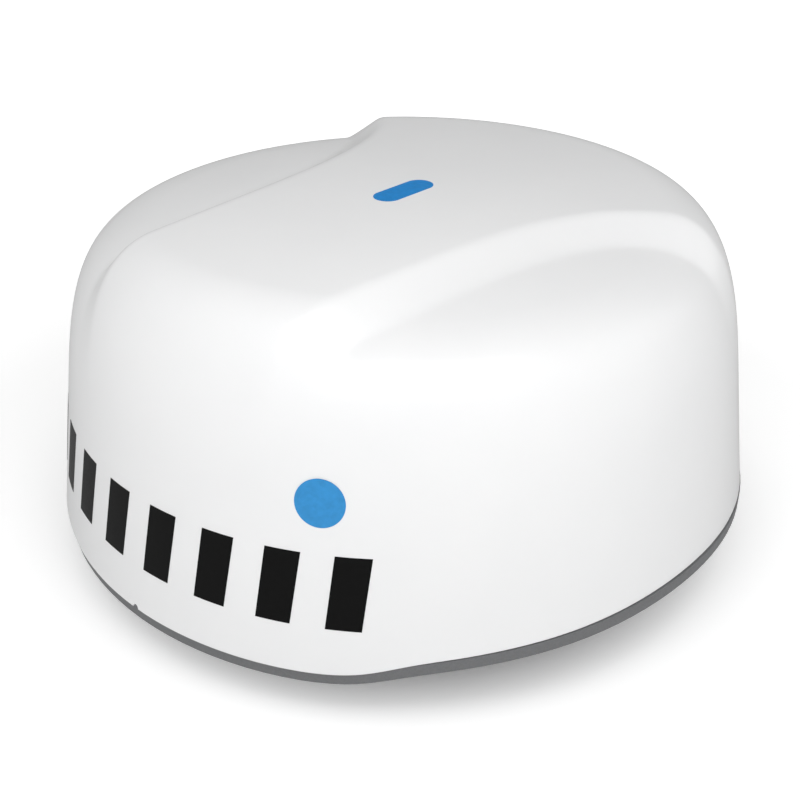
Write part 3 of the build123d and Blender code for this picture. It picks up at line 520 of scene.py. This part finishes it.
FINISHES = {
    "radome_white": gelcoat("gelcoat_white"),
    "housing_grey": powder_coat("powder_coat_grey", (0.155, 0.158, 0.163), 1.08),
    "seal_rubber": rubber("seal_rubber", (0.02, 0.02, 0.02)),
    "stainless": brushed_metal("stainless_steel", (0.62, 0.62, 0.61)),
    "socket_black": moulded_plastic("socket_plastic", (0.02, 0.02, 0.022)),
    "contact_gold": turned_metal("contact_gold", (0.83, 0.6, 0.22)),
    "vent_grey": moulded_plastic("vent_plastic", (0.11, 0.115, 0.12)),
    "cast_aluminium": cast_metal("cast_aluminium", (0.62, 0.62, 0.63)),
    "sheet_aluminium": brushed_metal("sheet_aluminium", (0.72, 0.73, 0.74)),
    "board_green": solder_mask("board_solder_mask", (0.012, 0.13, 0.045)),
    "chip_black": moulded_plastic("component_plastic", (0.018, 0.018, 0.02), 2400),
    "bearing_steel": turned_metal("bearing_steel", (0.66, 0.66, 0.68), 0.1, 0.22),
    "joint_brass": turned_metal("joint_brass", (0.72, 0.52, 0.2)),
    "motor_black": powder_coat("motor_paint", (0.022, 0.022, 0.024), 1.6),
    "belt_rubber": drive_belt_rubber("belt_rubber"),
    "lead_black": rubber("lead_sheath_black", (0.02, 0.02, 0.021)),
    "lead_red": rubber("lead_sheath_red", (0.36, 0.018, 0.012)),
    "mark_blue": printed_film("mark_film_blue", (0.003, 0.225, 0.6)),
    "mark_light_blue": printed_film("mark_film_light_blue", (0.045, 0.275, 0.6)),
    "mark_black": printed_film("mark_film_black", (0.006, 0.006, 0.006)),
    "turned_steel": turned_metal("turned_steel", (0.55, 0.55, 0.57)),
    "pulley_plastic": moulded_plastic("pulley_acetal", (0.62, 0.6, 0.55), 2000, 0.32, 0.48),
    "array_laminate": woven_laminate("array_laminate", (0.52, 0.46, 0.3)),
    "patch_copper": brushed_metal("patch_copper", (0.72, 0.33, 0.18)),
    "weight_iron": cast_metal("weight_iron", (0.13, 0.13, 0.135), 700),
    "drive_pulley_metal": turned_metal("drive_pulley_metal", (0.66, 0.66, 0.68)),
}


def dress_nodes():
    """Gives every carried-over CAD node the material of its slot in the record."""
    for entry in frame["record"]["subparts"]:
        mesh = nodes[entry["node"]].data
        mesh.materials.clear()
        mesh.materials.append(FINISHES[entry["material_slot"]])


# ---------------------------------------------------------------- camera, floor and light
# metres, and degrees round from the bow to port
CAMERA_TURN, CAMERA_TILT, CAMERA_REACH = 42.5, 29.55, 0.8735
CAMERA_LENS = 52.9
CAMERA_AIM = Vector((0, 0, 0.12))
CAMERA_ASIDE, CAMERA_DOWN = 0.0025, 0.0326    # sideways and downwards shift, which frames the object
FLOOR_SIZE, FLOOR_DROP = 16, 0.0006           # the floor lies just under the feet
FLOOR_GLOW_AND_PAINTED_SHADOW = [(0.19, 0.04), (0.245, 0.44), (0.4, 0.46), (0.9, 0.8)]    # distance from the middle, glow; the dim glow close to the middle is a painted contact shadow
BACKDROP_R, BACKDROP_LOW, BACKDROP_HIGH, BACKDROP_SIDES = 7.9, -0.1, 7, 96
WORLD_STRENGTH = 0.455
PAPER_GLOW = 0.9
LIGHTS = [    # name, bearing, rise above the horizon, reach, width, height, power
    ("near_key", 42, 58, 0.75, 0.7, 0.4, 1.9),
    ("wide_key", 42, 45, 1.3, 1.6, 0.6, 2.6),
    ("front", 42, 35, 2.2, 2.6, 1.8, 1.2),
    ("port_quarter", 130, 35, 1.8, 1.8, 1.0, 1.8),
]


def make_camera():
    turn, tilt = radians(CAMERA_TURN), radians(CAMERA_TILT)
    right = Vector((cos(turn), sin(turn), 0))
    ahead = Vector((-sin(turn) * cos(tilt), cos(turn) * cos(tilt), -sin(tilt)))
    up = right.cross(ahead)
    camera = bpy.data.objects.new("camera", bpy.data.cameras.new("camera"))
    camera.data.lens = CAMERA_LENS
    camera.location = CAMERA_AIM - right * CAMERA_ASIDE - up * CAMERA_DOWN - ahead * CAMERA_REACH
    camera.rotation_mode = "QUATERNION"
    camera.rotation_quaternion = ahead.to_track_quat("-Z", "Y")
    bpy.context.scene.collection.objects.link(camera)
    bpy.context.scene.camera = camera


def make_floor():
    """Plain pale floor that glows more away from the object, so that it reads white; close to the object
    its glow is dimmed, a painted contact shadow.
    """
    mesh = bpy.data.meshes.new("floor")
    half = FLOOR_SIZE / 2
    corners = [(-half, -half, 0), (half, -half, 0), (half, half, 0), (-half, half, 0)]
    mesh.from_pydata(corners, [], [(0, 1, 2, 3)])
    floor = bpy.data.objects.new("floor", mesh)
    floor.location.z = -FLOOR_DROP
    floor.visible_glossy = False      # keeps the outline of the white dome darker than the floor behind it
    bpy.context.scene.collection.objects.link(floor)
    finish = Finish("floor_paper_painted_shadow", Specular_IOR_Level=0.2)
    finish.colour(finish.noise(3, 3), (0.3, (0.8, 0.8, 0.8)), (0.7, (0.82, 0.82, 0.82)))
    finish.roughness(finish.noise(20, 3), 0.85, 0.95)
    finish.shader.inputs["Emission Color"].default_value = (1, 1, 1, 1)
    # emission strength by distance from the middle: dimmed under the object as a painted contact shadow,
    # brighter further out
    away = finish.nodes.new("ShaderNodeVectorMath")
    away.operation = "LENGTH"
    finish.links.new(finish.place, away.inputs[0])
    stops = [(reach, (glow, glow, glow)) for reach, glow in FLOOR_GLOW_AND_PAINTED_SHADOW]
    finish.ramp(away.outputs["Value"], stops, "Emission Strength")
    mesh.materials.append(finish.material)


def make_backdrop():
    """Plain pale wall all round, seen by the camera only, so that low views have no dark horizon."""
    turn = np.linspace(0, 2 * pi, BACKDROP_SIDES + 1)[:-1]
    heights = BACKDROP_LOW, BACKDROP_HIGH
    points = [(BACKDROP_R * cos(a), BACKDROP_R * sin(a), z) for z in heights for a in turn]
    count = BACKDROP_SIDES
    faces = [(i, (i + 1) % count, count + (i + 1) % count, count + i) for i in range(count)]
    mesh = bpy.data.meshes.new("backdrop")
    mesh.from_pydata(points, [], faces)
    mesh.shade_smooth()
    backdrop = bpy.data.objects.new("backdrop", mesh)
    backdrop.visible_diffuse = False
    backdrop.visible_glossy = False
    backdrop.visible_shadow = False
    bpy.context.scene.collection.objects.link(backdrop)
    finish = Finish("backdrop_paper", Emission_Strength=PAPER_GLOW, Specular_IOR_Level=0)
    finish.shader.inputs["Emission Color"].default_value = (1, 1, 1, 1)
    finish.colour(finish.noise(2, 2), (0.3, (0.3, 0.3, 0.3)), (0.7, (0.34, 0.34, 0.34)))
    mesh.materials.append(finish.material)


def make_softbox(name, bearing, rise, reach, width, height, power):
    """Rectangular soft light that faces the object. Bearing 0 is at the bow, 90 at port."""
    data = bpy.data.lights.new(name, "AREA")
    data.shape = "RECTANGLE"
    data.size, data.size_y = width, height
    data.energy = power
    lamp = bpy.data.objects.new(name, data)
    turn, tilt = radians(bearing), radians(rise)
    away = Vector((sin(turn) * cos(tilt), -cos(turn) * cos(tilt), sin(tilt)))
    lamp.location = CAMERA_AIM + away * reach
    lamp.rotation_mode = "QUATERNION"
    lamp.rotation_quaternion = away.to_track_quat("Z", "Y")
    bpy.context.scene.collection.objects.link(lamp)


def make_world():
    world = bpy.data.worlds.new("studio")
    world.use_nodes = True
    background = world.node_tree.nodes["Background"]
    background.inputs["Color"].default_value = (1, 1, 1, 1)
    background.inputs["Strength"].default_value = WORLD_STRENGTH
    bpy.context.scene.world = world


radome = make_radome()
radome.data.materials.append(FINISHES["radome_white"])
dress_nodes()
make_camera()
make_floor()
make_backdrop()
make_world()
for light in LIGHTS:
    make_softbox(*light)
bpy.context.scene.view_settings.view_transform = "Standard"
